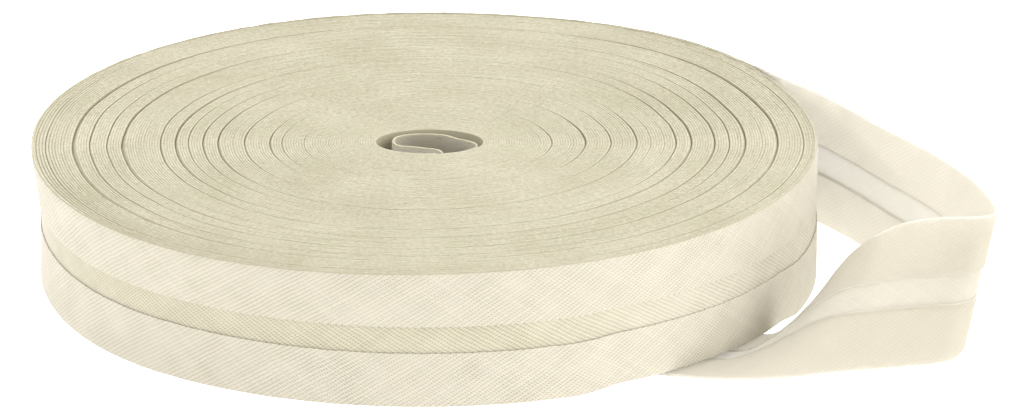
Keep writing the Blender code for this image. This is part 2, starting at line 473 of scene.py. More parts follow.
def rim_radius(azimuth):
    """The rim's radius where the tape leaves the roll. Further round the turns' own pitch comes off it."""
    slack = SLACKENED_BY * lobe(azimuth, SLACKENED_AT, SLACKENED_SPREAD)
    return ROLL_RADIUS + slack + RIM_FLARE * lobe(azimuth, FLARE_AT, FLARE_SPREAD)


def tuck_lift(azimuth, radius):
    """How far the underside stands off the floor, over the tape that is tucked under it."""
    middle = (TUCK_FROM + TUCK_TO) / 2
    half = (TUCK_TO - TUCK_FROM) / 2
    inwards = 1.0 - fade(radius, TUCK_FADE_RADIUS, TUCK_INNER_RADIUS)
    return TUCK_LIFT * fade(degrees_apart(azimuth, middle), half, half + TUCK_FADE) * inwards


def hole_radius(azimuth):
    """How far the oval hole's wall is from the roll's axis. The hole's centre lies a little off it."""
    x = cos(radians(azimuth))
    y = sin(radians(azimuth))
    squared = (x / HOLE_HALF_LENGTH) ** 2 + (y / HOLE_HALF_WIDTH) ** 2
    across = x * HOLE_CENTRE_X / HOLE_HALF_LENGTH**2 + y * HOLE_CENTRE_Y / HOLE_HALF_WIDTH**2
    beyond = (HOLE_CENTRE_X / HOLE_HALF_LENGTH) ** 2 + (HOLE_CENTRE_Y / HOLE_HALF_WIDTH) ** 2 - 1.0
    return (across + sqrt(across**2 - squared * beyond)) / squared


def smooth_rows(rows, step):
    """Rows of numbers read at about even steps from a smooth curve through the given rows."""
    knots = [0.0]
    for first, second in zip(rows, rows[1:]):
        knots.append(knots[-1] + (Vector(second) - Vector(first)).length)
    last = len(rows) - 1
    slopes = []
    for index in range(len(rows)):
        before = max(index - 1, 0)
        after = min(index + 1, last)
        slopes.append((Vector(rows[after]) - Vector(rows[before])) / (knots[after] - knots[before]))
    made = []
    for index in range(last):
        span = knots[index + 1] - knots[index]
        pieces = max(1, round(span / step))
        for piece in range(pieces + (index == last - 1)):
            t = piece / pieces
            made.append(
                Vector(rows[index]) * (2 * t**3 - 3 * t**2 + 1)
                + slopes[index] * span * (t**3 - 2 * t**2 + t)
                + Vector(rows[index + 1]) * (3 * t**2 - 2 * t**3)
                + slopes[index + 1] * span * (t**3 - t**2)
            )
    return made


# Materials


def new_material(name):
    """A material with an empty node tree, and the function that adds a node to it."""
    material = bpy.data.materials.new(name)
    material.use_nodes = True
    material.node_tree.nodes.clear()
    return material, partial(add_node, material.node_tree)


def bias_cut_cotton(name, weave, tape, depth=0.06 * MM):
    """Plain-weave cotton cut on the bias: matt slanting threads, a dark dot of painted shade between each
    four, uneven tone.

    It reads the UV map "cloth", which holds millimetres on the flat cloth, along and across the strip. The
    threads are as many as the real ones, about 18 and 26 to the centimetre.
    """
    material, add = new_material(name)
    strip_middle = tape.flap / MM + tape.width / MM / 2
    strip_half = tape.width / MM / 2 - tape.flap / MM + STRIP_MARGIN

    # Threads wander a little, so the grid is never ruled.
    place = add("ShaderNodeUVMap", uv_map="cloth")
    wander = add(
        "ShaderNodeTexNoise", {"Vector": place, "Scale": 0.14, "Detail": 2.0, "Roughness": 0.5}
    ).outputs["Color"]
    centred = add("ShaderNodeVectorMath", [wander, (0.5, 0.5, 0.5)], operation="SUBTRACT")
    scaled = add("ShaderNodeVectorMath", {0: centred, "Scale": 0.5}, operation="SCALE")
    moved = add("ShaderNodeVectorMath", [place, scaled], operation="ADD")

    # Both sets of threads: a count across them, its nearest whole thread, and a rounded body round that.
    slants = (
        (-sin(weave.coarse_angle), cos(weave.coarse_angle), weave.coarse_spacing / MM),
        (sin(weave.fine_angle), cos(weave.fine_angle), weave.fine_spacing / MM),
    )
    counts = []
    threads = []
    bodies = []
    for along, across, spacing in slants:
        slant = (along / spacing, across / spacing, 0.0)
        count = add("ShaderNodeVectorMath", [moved, slant], operation="DOT_PRODUCT").outputs["Value"]
        thread = add("ShaderNodeMath", [count], operation="ROUND")
        off = add("ShaderNodeMath", [count, thread], operation="SUBTRACT")
        turn = add("ShaderNodeMath", [off, pi], operation="MULTIPLY")
        counts.append(count)
        threads.append(thread)
        bodies.append(add("ShaderNodeMath", [turn], operation="COSINE"))

    # Each thread goes over one thread of the other set and under the next.
    heights = []
    for own, other, base, sign in ((0, 1, 0.68, 0.32), (1, 0, 0.60, -0.40)):
        parity = add("ShaderNodeMath", [threads[own], pi], operation="MULTIPLY")
        parity = add("ShaderNodeMath", [parity], operation="COSINE")
        swing = add("ShaderNodeMath", [counts[other], pi], operation="MULTIPLY")
        swing = add("ShaderNodeMath", [swing], operation="COSINE")
        over = add("ShaderNodeMath", [parity, swing], operation="MULTIPLY")
        over = add("ShaderNodeMath", [over, sign, base], operation="MULTIPLY_ADD")
        heights.append(add("ShaderNodeMath", [over, bodies[own]], operation="MULTIPLY"))
    height = add("ShaderNodeMath", heights, operation="MAXIMUM")
    on_top = add("ShaderNodeMath", heights, operation="GREATER_THAN")

    # Hand-spun look: each thread has its own tone, and thicker stretches along it.
    tones = []
    for index in (0, 1):
        own = add("ShaderNodeTexWhiteNoise", {"W": threads[index]}, noise_dimensions="1D")
        line = add("ShaderNodeCombineXYZ", {"X": threads[index], "Y": counts[1 - index]})
        line = add("ShaderNodeVectorMath", [line, (3.7, 0.09, 0.0)], operation="MULTIPLY")
        slub = add("ShaderNodeTexNoise", {"Vector": line, "Scale": 1.0, "Detail": 2.0})
        tones.append(add("ShaderNodeMath", [own, slub.outputs["Fac"]], operation="ADD"))
    tone = add("ShaderNodeMix", {"Factor": on_top, "A": tones[1], "B": tones[0]}, data_type="FLOAT")
    tone = add(
        "ShaderNodeMapRange",
        {"Value": tone, "From Min": 0.3, "From Max": 1.7, "To Min": 0.92, "To Max": 1.04},
    )

    # Painted shade: on the wall the strip between the flaps, one layer over the turn beneath, is darkened
    # and shows more of the dark colour between the yarns.
    free = add("ShaderNodeAttribute", attribute_name="free").outputs["Fac"]
    held = add("ShaderNodeMath", [1.0, free], operation="SUBTRACT")
    along, across, _ = add("ShaderNodeSeparateXYZ", [place]).outputs
    single = add("ShaderNodeMath", [across, strip_middle, strip_half], operation="COMPARE")
    strip = add("ShaderNodeMath", [single, held], operation="MULTIPLY")

    # That painted shade is deepest at the front of the roll, and pale at the two sides.
    from_front = add("ShaderNodeMath", [along, STRIP_SHADE_DEEPEST_AT], operation="SUBTRACT")
    from_front = add("ShaderNodeMath", [from_front], operation="ABSOLUTE")
    strip_shade_strength = add(
        "ShaderNodeMapRange",
        {"Value": from_front, "From Min": 35.0, "From Max": 66.0, "To Min": 1.0, "To Max": 0.15},
        interpolation_type="SMOOTHSTEP",
    )
    strip = add("ShaderNodeMath", [strip, strip_shade_strength], operation="MULTIPLY")

    # The cloth is a little closer or more open from place to place.
    patch = add("ShaderNodeTexNoise", {"Vector": place, "Scale": 0.22, "Detail": 2.0})
    open_by = add(
        "ShaderNodeMapRange",
        {"Value": patch.outputs["Fac"], "From Min": 0.3, "From Max": 0.7, "To Min": 0.46, "To Max": 0.74},
    )
    # On the strip the weave opens further, as part of the painted shade.
    open_by = add("ShaderNodeMath", [strip, 0.14, open_by], operation="MULTIPLY_ADD")
    cover = add(
        "ShaderNodeMapRange",
        {"Value": height, "From Min": 0.0, "From Max": open_by},
        interpolation_type="SMOOTHSTEP",
    )
    # Sockets 6 and 7 of a colour Mix node are its two colours, and its third output is the mixed one. Where
    # the threads lie low, the colour between the yarns is painted shade.
    ends = {6: (*weave.between, 1.0), 7: (*weave.yarn, 1.0)}
    colour = add("ShaderNodeMix", {0: cover, **ends}, data_type="RGBA").outputs[2]
    toned = add("ShaderNodeVectorMath", {0: colour, "Scale": tone}, operation="SCALE")
    painted_strip_colour = add("ShaderNodeVectorMath", [toned, STRIP_PAINTED_SHADE], operation="MULTIPLY")
    toned = add("ShaderNodeMix", {0: strip, 6: toned, 7: painted_strip_colour}, data_type="RGBA").outputs[2]

    bump = add("ShaderNodeBump", {"Height": height, "Distance": depth, "Strength": 0.3})
    shader = add(
        "ShaderNodeBsdfPrincipled",
        {"Base Color": toned, "Roughness": 0.92, "Specular IOR Level": 0.25, "Normal": bump},
    )
    shader.inputs["Sheen Weight"].default_value = 0.12
    shader.inputs["Sheen Roughness"].default_value = 0.5
    through = add("ShaderNodeBsdfTranslucent", {"Color": (*weave.through, 1.0), "Normal": bump})

    # Light comes through the loose cloth, most of it between the yarns. Against the roll it hardly does.
    share = add("ShaderNodeMapRange", {"Value": cover, "To Min": 0.87, "To Max": 0.61})
    share = add("ShaderNodeMath", [share, free], operation="MULTIPLY")
    closed = add("ShaderNodeMath", [single, -0.35, 1.0], operation="MULTIPLY_ADD")
    share = add("ShaderNodeMath", [share, closed], operation="MULTIPLY")
    mixed = add("ShaderNodeMixShader", {"Fac": share, 1: shader, 2: through})
    add("ShaderNodeOutputMaterial", {"Surface": mixed})
    return material


def folded_edge_with_painted_shade(name):
    """The folded edges of many turns of the same cotton: matt, fuzzy and greyer, partly as painted shade,
    with a broken grain, and painted shade on their sides in the gaps.

    The fuzz is a third of a millimetre long, as the fibres that stand off a fold. The cloth is thin, so some
    light from beside each turn comes through it and keeps the gaps soft.
    """
    material, add = new_material(name)
    place = add("ShaderNodeTexCoord").outputs["Object"]
    fibre, grain, cloud = (
        add("ShaderNodeTexNoise", {"Vector": place, **pattern}).outputs["Fac"]
        for pattern in (
            {"Scale": 3400.0, "Detail": 3.0, "Roughness": 0.65},
            {"Scale": 1500.0, "Detail": 2.0},
            {"Scale": 90.0, "Detail": 2.0},
        )
    )
    both = add("ShaderNodeMath", [fibre, grain], operation="ADD")
    tone = add("ShaderNodeMath", [cloud, 0.5, both], operation="MULTIPLY_ADD")
    share = add("ShaderNodeMapRange", {"Value": tone, "From Min": 0.85, "From Max": 1.65})
    # The third of these colours, plain, is the painted shade of the turns' sides.
    dark, light, plain, glow = ((*linear(code), 1.0) for code in (*FOLD_TONES_AND_SHADE, SIDE_PAINTED_SHADE, FOLD_THROUGH))
    colour = add("ShaderNodeMix", {0: share, 6: dark, 7: light}, data_type="RGBA").outputs[2]

    # Painted shade: the turns' sides, where little light reaches between one turn and the next, take a
    # darker colour.
    facing = add("ShaderNodeNewGeometry").outputs["True Normal"]
    upwards = add("ShaderNodeSeparateXYZ", [facing]).outputs["Z"]
    side = add("ShaderNodeMapRange", {"Value": upwards, "From Min": 0.85, "From Max": 0.5})
    colour = add("ShaderNodeMix", {0: side, 6: colour, 7: plain}, data_type="RGBA").outputs[2]
    bump = add("ShaderNodeBump", {"Height": both, "Distance": 0.10 * MM, "Strength": 0.5})
    shader = add(
        "ShaderNodeBsdfPrincipled",
        {"Base Color": colour, "Roughness": 0.95, "Specular IOR Level": 0.2, "Normal": bump},
    )
    through = add("ShaderNodeBsdfTranslucent", {"Color": glow, "Normal": bump})
    mixed = add("ShaderNodeMixShader", {"Fac": 0.22, 1: shader, 2: through})
    add("ShaderNodeOutputMaterial", {"Surface": mixed})
    return material


def light_table(name, colour, glow):
    """The matt white sheet of a light table: without gloss, faintly uneven in tone, and a little lit from
    below, which keeps the shade beside the object pale."""
    material, add = new_material(name)
    place = add("ShaderNodeTexCoord").outputs["Object"]
    cloud = add("ShaderNodeTexNoise", {"Vector": place, "Scale": 40.0, "Detail": 4.0})
    tone = add("ShaderNodeMapRange", {"Value": cloud.outputs["Fac"], "To Min": 0.985, "To Max": 1.0})
    toned = add("ShaderNodeVectorMath", {0: tuple(colour), "Scale": tone}, operation="SCALE")
    matt = {"Base Color": toned, "Roughness": 0.95, "Specular IOR Level": 0.1}
    lit = {"Emission Color": (1.0, 1.0, 1.0, 1.0), "Emission Strength": glow}
    shader = add("ShaderNodeBsdfPrincipled", {**matt, **lit})
    add("ShaderNodeOutputMaterial", {"Surface": shader})
    return material


def fold_material():
    """The look of the turns' folded edges, made once and shared."""
    name = "folded cotton edges with painted shade"
    return bpy.data.materials.get(name) or folded_edge_with_painted_shade(name)


def cloth_material(settings):
    """The tape's cotton, made once and shared."""
    name = "bias-cut cotton"
    return bpy.data.materials.get(name) or bias_cut_cotton(name, settings.weave, settings.tape)


# The wound turns


def small_gaps(seed):
    """The gaps that can't be told apart one by one, all over the top face and just inside the rim."""
    chance = Random(seed)
    gaps = []
    for number in range(SMALL_GAPS):
        inset = SMALL_GAPS_FROM + SMALL_GAPS_REACH * (number + chance.random()) / SMALL_GAPS
        left = chance.uniform(0.0, SMALL_GAP_WIDEST)
        right = chance.uniform(0.0, SMALL_GAP_WIDEST)
        gaps.append(Gap(inset, left, right, chance.uniform(1.5, 4.0), chance.uniform(-0.01, 0.01)))
    for number in range(OUTER_LOOSE_TURNS):
        inset = OUTER_LOOSE_FROM + number * TURN_PITCH * OUTER_LOOSE_SPACING
        left = chance.uniform(0.04, 0.10)
        gaps.append(Gap(inset, left, chance.uniform(0.0, SMALL_GAP_WIDEST), 2.0, 0.0))
    return gaps


def gap_width(gap, azimuth):
    """How wide a gap is at an azimuth, with some unevenness along it."""
    sideways = cos(radians(azimuth))
    width = (gap.right if sideways > 0 else gap.left) * abs(sideways) ** gap.narrowing
    width += GAP_SHARE_AT_FRONT * max(gap.left, gap.right) * max(0.0, -sin(radians(azimuth))) ** 2
    place = around(azimuth, (ROLL_RADIUS - gap.inset) / GAP_UNEVEN_LENGTH, gap.inset)
    return width * (1 + GAP_UNEVENNESS * noise.noise(place))


def wander(place, azimuth, radius):
    """The shift of a place on the top face, none at the rim or the hole's wall."""
    held = fade(rim_radius(azimuth) - radius, 5.0, 1.0)
    free = (1 - held) * (1 - fade(radius - hole_radius(azimuth), 1.0, 5.0))
    return free * WANDER * noise.noise(place / WANDER_LENGTH)


def wound_path(roll):
    """The middle line of the wound tape, from the centre out, as places and their values: how far the foot
    leans in, the foot is lifted, the edge is raised and the side bulges out, and the radius."""
    total = 1 + roll.turns + (INNER_LEAVES_AT - LEAVES_AT) % 360.0 / 360.0

    # A gap is crossed where it is closed, so that the tape never jumps.
    crossing = (GAPS_CLOSE_AT - LEAVES_AT) % 360.0 / 360.0
    breaks = []
    earlier = 0.0
    for gap in sorted(list(GAPS) + small_gaps(roll.seed), key=lambda gap: gap.inset):
        breaks.append((round((gap.inset - earlier) / TURN_PITCH) + crossing, gap))
        earlier += (gap.left + gap.right) / 2
    chance = Random(roll.seed + 1)
    own_rise = [chance.uniform(-1.0, 1.0) for _ in range(roll.turns + 3)]
    points = []
    values = {"lean": [], "lift": [], "rise": [], "swell": [], "middle": []}
    turned = 1 + OVERLAP / 360.0
    while True:
        azimuth = LEAVES_AT + 360.0 * turned
        opened = 0.0
        all_gaps = 0.0
        swell = 0.0
        rise = 0.0
        for crossed_at, gap in breaks:
            width = gap_width(gap, azimuth)
            all_gaps += width
            if turned > crossed_at:
                opened += width
                swell += width * (turned <= crossed_at + 1)
                settled = min(1.0, (turned - crossed_at) * 2)
                rise += (gap.band_rise - rise) * settled
        rim = rim_radius(azimuth) - TURN_PITCH / 2 - RIM_CLEARANCE
        room = (rim - hole_radius(azimuth)) / (total * TURN_PITCH + all_gaps)
        radius = rim - (turned * TURN_PITCH + opened) * room
        radius += wander(around(azimuth, radius), azimuth, radius)
        near_rim = fade(turned, 1.5, 4.0)

        # A turn's own rise passes smoothly into that of the next one.
        number = int(turned)
        share = turned - number
        share = share * share * (3 - 2 * share)
        own = own_rise[number] * (1 - share) + own_rise[number + 1] * share
        points.append(around(azimuth, radius))
        values["lean"].append(LEAN_MARGIN * foot_pulled_in(azimuth) * fade(rim - radius, 0.0, LEAN_REACHES))
        values["lift"].append(tuck_lift(azimuth, radius))
        values["rise"].append((rise + OWN_RISE * own) * (1 - near_rim))
        values["swell"].append(swell * room)
        values["middle"].append(radius)
        if turned >= total:
            break

        # Steps are finest at the left and right, where the turns are seen end on.
        steps = max(LEAST_STEPS, pi * sqrt(radius / (2 * STEP_SAG))) * (1 + 0.5 * cos(2 * radians(azimuth)))
        turned = min(total, turned + 1.0 / steps)
    for row in (points, *values.values()):
        row.reverse()
    return points, values


def turn_section(height, thickness, rounding):
    """The outline of one turn, cut across, with its upper edge rounded a little. Its outer side has a corner
    below which it can bulge. Swept along the path, the outline's -X points outwards and its -Y up."""
    half = thickness / 2
    top = height / 2
    foot = (half, top)
    hollow = (half, -HOLLOW_CORNER * top)
    bulge = (half, GAP_DEPTH - top)
    edge = [(half, rounding - top), (half - rounding, -top)]
    points = [(-across, down) for across, down in (foot, hollow, bulge, *edge)] + edge[::-1] + [hollow, foot]
    mesh = bpy.data.meshes.new("turn_section")
    corners = [Vector((across, down, 0.0)) * MM for across, down in points]
    mesh.from_pydata(corners, [(i, (i + 1) % len(corners)) for i in range(len(corners))], [])
    section = bpy.data.objects.new("turn_section", mesh)
    bpy.context.scene.collection.objects.link(section)
    return section


def turns_tree(name):
    """Geometry nodes that sweep the folded tape's section along its path, and roughen the folded edges."""
    tree = bpy.data.node_groups.new(name, "GeometryNodeTree")
    tree.is_modifier = True
    new = tree.interface.new_socket
    new("Geometry", in_out="INPUT", socket_type="NodeSocketGeometry")
    for label, kind in (
        ("Section", "NodeSocketObject"),
        ("Tape height", "NodeSocketFloat"),
        ("Gap depth", "NodeSocketFloat"),
        ("Unevenness", "NodeSocketFloat"),
        ("Uneven length", "NodeSocketFloat"),
        ("Seed", "NodeSocketFloat"),
        ("Cloth", "NodeSocketMaterial"),
    ):
        new(label, in_out="INPUT", socket_type=kind)
    new("Geometry", in_out="OUTPUT", socket_type="NodeSocketGeometry")
    add = partial(add_node, tree)
    given = add("NodeGroupInput").outputs

    # Sweep the section along the path.
    path = add("GeometryNodeMeshToCurve", {"Mesh": given["Geometry"]})
    path = add("GeometryNodeSetCurveNormal", {"Curve": path}, mode="Z_UP")
    section = add("GeometryNodeObjectInfo", {"Object": given["Section"]})
    section = add("GeometryNodeMeshToCurve", {"Mesh": section.outputs["Geometry"]})
    swept = add("GeometryNodeCurveToMesh", {"Curve": path, "Profile Curve": section, "Fill Caps": True})
    lean, swell, middle, lift, rise = (
        add("GeometryNodeInputNamedAttribute", {"Name": label}, data_type="FLOAT")
        for label in ("lean", "swell", "middle", "lift", "rise")
    )

    # Share of the height, from 0 at the foot to 1 at the top.
    place = add("GeometryNodeInputPosition")
    level = add("ShaderNodeSeparateXYZ", [place]).outputs["Z"]
    share = add("ShaderNodeMath", [level, given["Tape height"]], operation="DIVIDE")
    share = add("ShaderNodeMath", [share, 0.5], operation="ADD")
    below = add("ShaderNodeMath", [1.0, share], operation="SUBTRACT")

    # The foot is pulled in towards the axis, most of it within the upper half of the wall.
    flat = add("ShaderNodeVectorMath", [place, (1.0, 1.0, 0.0)], operation="MULTIPLY")
    outwards = add("ShaderNodeVectorMath", [flat], operation="NORMALIZE")
    hollow = add("ShaderNodeMath", [share, 2.0, 1.0], operation="MULTIPLY_ADD")
    lean = add("ShaderNodeMath", [lean, below], operation="MULTIPLY")
    lean = add("ShaderNodeMath", [lean, hollow], operation="MULTIPLY")

    # Below a gap, the outer side of the turn inside it bulges out to the next turn.
    distance = add("ShaderNodeVectorMath", [flat], operation="LENGTH").outputs["Value"]
    outer = add("ShaderNodeMath", [distance, middle], operation="GREATER_THAN")
    edge = add("ShaderNodeMath", [given["Tape height"], 0.5], operation="MULTIPLY")
    edge = add("ShaderNodeMath", [given["Gap depth"], -0.8, edge], operation="MULTIPLY_ADD")
    body = add("ShaderNodeMath", [level, edge], operation="LESS_THAN")
    swell = add("ShaderNodeMath", [swell, outer], operation="MULTIPLY")
    swell = add("ShaderNodeMath", [swell, body], operation="MULTIPLY")
    moved = add("ShaderNodeMath", [swell, lean], operation="SUBTRACT")
    pulled = add("ShaderNodeVectorMath", {0: outwards, "Scale": moved}, operation="SCALE")

    # The foot is squeezed up over the tucked end.
    lift = add("ShaderNodeMath", [lift, below], operation="MULTIPLY")

    # The top edge rises and falls by its group of turns and by small waves of its own.
    length = add("ShaderNodeMath", [1.0, given["Uneven length"]], operation="DIVIDE")
    waves = add(
        "ShaderNodeTexNoise",
        {"Vector": place, "W": given["Seed"], "Scale": length, "Detail": 2.0},
        noise_dimensions="4D",
    )
    waves = add("ShaderNodeMath", [waves.outputs[0], 0.5], operation="SUBTRACT")
    waves = add("ShaderNodeMath", [waves, given["Unevenness"]], operation="MULTIPLY")
    raised = add("ShaderNodeMath", [rise, waves], operation="ADD")
    raised = add("ShaderNodeMath", [raised, share, lift], operation="MULTIPLY_ADD")
    upwards = add("ShaderNodeCombineXYZ", {"Z": raised})
    offset = add("ShaderNodeVectorMath", [pulled, upwards], operation="ADD")
    shaped = add("GeometryNodeSetPosition", {"Geometry": swept, "Offset": offset})
    shaped = add("GeometryNodeSetShadeSmooth", {"Geometry": shaped, "Shade Smooth": True})
    whole = add("GeometryNodeRealizeInstances", {"Geometry": shaped})
    dressed = add("GeometryNodeSetMaterial", {"Geometry": whole, "Material": given["Cloth"]})
    add("NodeGroupOutput", {"Geometry": dressed})
    return tree


def finished_by_nodes(name, base, tree, inputs):
    """Runs the tree on the base mesh and returns the plain result as a new object, with no modifier left."""
    item = bpy.data.objects.new(name, base)
    bpy.context.scene.collection.objects.link(item)
    modifier = item.modifiers.new("Shape", "NODES")
    modifier.node_group = tree
    for socket in tree.interface.items_tree:
        if socket.item_type == "SOCKET" and socket.in_out == "INPUT" and socket.name in inputs:
            modifier[socket.identifier] = inputs[socket.name]
    graph = bpy.context.evaluated_depsgraph_get()
    plain = bpy.data.meshes.new_from_object(item.evaluated_get(graph), depsgraph=graph)
    item.modifiers.remove(modifier)
    item.data = plain
    plain.name = name
    if not plain.polygons:
        raise RuntimeError(f"{name} came out empty")
    return item


def make_wound_turns(settings):
    """All turns under the outermost one, swept as one long strip along their path."""
    roll = settings.roll
    height = settings.tape.width / MM
    points, values = wound_path(roll)
    base = bpy.data.meshes.new("wound_path")
    base.from_pydata([point * MM for point in points], [(i, i + 1) for i in range(len(points) - 1)], [])
    for label, row in values.items():
        attribute = base.attributes.new(label, "FLOAT", "POINT")
        attribute.data.foreach_set("value", [value * MM for value in row])
    stands = height - 2 * FLOOR_CLEARANCE
    section = turn_section(stands, roll.thickness / MM, roll.rounding / MM)
    turns = finished_by_nodes(
        "wound_turns",
        base,
        turns_tree("Wound turns"),
        {
            "Section": section,
            "Tape height": stands * MM,
            "Gap depth": GAP_DEPTH * MM,
            "Unevenness": roll.unevenness,
            "Uneven length": 1.4 * MM,
            "Seed": float(roll.seed),
            "Cloth": fold_material(),
        },
    )
    bpy.data.objects.remove(section, do_unlink=True)
    turns.data.transform(Matrix.Translation((ROLL_AXIS + Vector((0.0, 0.0, height / 2))) * MM))
    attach(turns, "root")
    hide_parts("roll")


# The two pieces of folded tape


def tape_section(tape, apart, free_lower, free_upper):
    """The folded tape's section as (place on the flat cloth, place across, place outwards, normal), from the
    lower flap's raw edge to the upper one's. The back layer lies at 0 and the flaps outside it."""
    width = tape.width / MM
    flap = tape.flap / MM
    half = apart / 2
    line = []

    def straight(start, end, outwards, facing, steps):
        """A flap, or the back."""
        for step in range(steps + 1):
            share = step / steps
            line.append((start * (1 - share) + end * share, outwards, (0.0, facing)))

    def fold(centre, start):
        """Half a round, from the angle it starts at."""
        for step in range(1, FOLD_STEPS):
            angle = start + pi * step / FOLD_STEPS
            line.append((centre + half * cos(angle), half + half * sin(angle), (cos(angle), sin(angle))))

    straight(flap + free_lower, half, apart, 1.0, FLAP_STEPS)
    fold(half, pi / 2)
    straight(half, width - half, 0.0, -1.0, BACK_STEPS)
    fold(width - half, -pi / 2)
    straight(width - half, width - flap - free_upper, apart, 1.0, FLAP_STEPS)
    placed = []
    gone = 0.0
    for number, (across, outwards, normal) in enumerate(line):
        if number:
            gone += hypot(across - line[number - 1][0], outwards - line[number - 1][1])
        placed.append((gone, across, outwards, normal))
    return placed


def folded_tape(name, tape, rows, apart, material, seed, fold_shows):
    """A closed mesh of folded tape along rows of (lower point, upper point, bow, extra room between layers,
    how freely light gets behind it, hollow), in the roll's millimetres. The hollow is how far the middle is
    set inwards. Where less light than fold_shows gets behind, the upper fold takes the turns' greyer fold
    colours, which are partly painted shade."""
    centres = [(row[0] + row[1]) / 2 for row in rows]
    half = tape.thickness / MM / 2
    width = tape.width / MM
    points = []
    places = []
    gone = 0.0
    for index, (lower, upper, bow, spread, row_free, hollow) in enumerate(rows):
        after = min(index + 1, len(rows) - 1)
        before = max(index - 1, 0)
        along = (centres[after] - centres[before]).normalized()
        up = (upper - lower).normalized()
        out = up.cross(along).normalized()
        if index:
            gone += (centres[index] - centres[index - 1]).length
        scale = (upper - lower).length / width
        strays = (Vector((gone * rate, seed, number)) for number, rate in enumerate(EDGE_RATES))
        wobble = [EDGE_WANDER * noise.noise(stray) for stray in strays]
        layers = apart + spread
        section = tape_section(tape, layers, wobble[0], wobble[1])
        sides = []
        for side in (1.0, -1.0):
            one = []
            for flat, across, outwards, normal in section:
                edge = across / width
                bulge = 4 * edge * (1 - edge)
                fold = (1 - row_free) * (across > width - layers)
                here = lower + up * (across * scale + normal[0] * half * side)
                here += up * (wobble[2] * (1 - edge) + wobble[3] * edge)
                here += out * (outwards - layers / 2 + normal[1] * half * side)
                here -= out * (FOLD_SET_BACK * fold + hollow * bulge)
                here.z = max(here.z + bow * bulge, LEAST_HEIGHT)
                one.append((here, (gone, flat)))
            sides.append(one)
        loop = sides[0] + sides[1][::-1]
        points += [here for here, _ in loop]
        places += [flat for _, flat in loop]
    count = len(points) // len(rows)
    faces = []
    for row in range(len(rows) - 1):
        for column in range(count):
            here = row * count + column
            after = row * count + (column + 1) % count
            faces.append((here, here + count, after + count, after))

    # The two cut ends are strips between the outer and the inner side of the cloth.
    for row, turned in ((0, False), (len(rows) - 1, True)):
        for column in range(count // 2 - 1):
            corner = [column, column + 1, count - 2 - column, count - 1 - column]
            corner = [row * count + number for number in corner]
            faces.append(tuple(reversed(corner)) if turned else tuple(corner))
    mesh = bpy.data.meshes.new(name)
    mesh.from_pydata([(point + ROLL_AXIS) * MM for point in points], [], faces)
    free = mesh.attributes.new("free", "FLOAT", "POINT")
    free.data.foreach_set("value", [row[4] for row in rows for _ in range(count)])
    layer = mesh.uv_layers.new(name="cloth")
    for loop in mesh.loops:
        layer.data[loop.index].uv = places[loop.vertex_index]
    mesh.shade_smooth()
    mesh.set_sharp_from_angle(angle=radians(50))
    mesh.materials.append(material)
    mesh.materials.append(fold_material())
    # Painted shade: where the tape lies on the wall, its upper fold takes the turns' greyer fold colours.
    for row in range(len(rows) - 1):
        if rows[row][4] < fold_shows:
            for column in range(UPPER_FOLD_STARTS, UPPER_FOLD_ENDS):
                mesh.polygons[row * count + column].material_index = 1
    item = bpy.data.objects.new(name, mesh)
    bpy.context.scene.collection.objects.link(item)
    return item, gone


def wall_row(azimuth, radius, top, lift=0.0, pulled=0.0):
    """One line across the tape where it stands against a round wall."""
    lower = around(azimuth, radius - pulled, FLOOR_CLEARANCE + lift)
    upper = around(azimuth, radius, top)
    return [*lower, *upper, 0.0, 0.0, WALL_FREE, pulled / 2]


def read_rows(rows, step):
    """The rows that folded_tape reads, at even steps along plain rows of numbers."""
    made = []
    for row in smooth_rows(rows, step):
        lower = Vector(row[0:3])
        upper = Vector(row[3:6])
        lower.z = max(lower.z, FLOOR_CLEARANCE)
        upper.z = max(upper.z, FLOOR_CLEARANCE)
        made.append((lower, upper, row[6], max(0.0, row[7]), min(1.0, max(0.0, row[8])), row[9]))
    return made


def make_outer_tape(settings, material):
    """The outermost turn, and the loose end that springs away from it and is tucked under the foot."""
    tape = settings.tape
    top = tape.width / MM
    apart = tape.thickness / MM + LAYER_GAP
    thick = apart + tape.thickness / MM
    rows = []
    turned = 360.0 + OVERLAP
    while turned > 0.5:
        azimuth = LEAVES_AT + turned
        radius = rim_radius(azimuth) - TURN_PITCH * turned / 360.0 - thick / 2
        lift = tuck_lift(azimuth, ROLL_RADIUS)
        rows.append(wall_row(azimuth, radius, top, lift, foot_pulled_in(azimuth)))
        turned -= WALL_STEP
    rows.append(wall_row(LEAVES_AT, rim_radius(LEAVES_AT) - thick / 2, top))

    # Off the wall the layers stand further apart, which lifts the tape where it lies down.
    loose = thick + 2 * OUTER_END_SPREAD
    for place in LOOSE_END:
        lower = Vector((place.lower_x, place.lower_y, 0.0))
        upper = Vector((place.upper_x, place.upper_y, place.upper_z))
        lean = hypot(upper.x - lower.x, upper.y - lower.y) / (upper - lower).length
        lift = lean * loose / 2 + FLOOR_CLEARANCE
        edges = [lower.x, lower.y, lift, upper.x, upper.y, min(upper.z + lift, OUTER_END_TOP)]
        rows.append([*edges, place.bow * lean, OUTER_END_SPREAD, OUTER_END_FREE, 0.0])
    made = read_rows(rows, OUTER_TAPE_STEP)
    item, length = folded_tape("outer_tape", tape, made, apart, material, seed=3.0, fold_shows=0.25)
    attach(item, "root")
    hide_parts("loose_end")


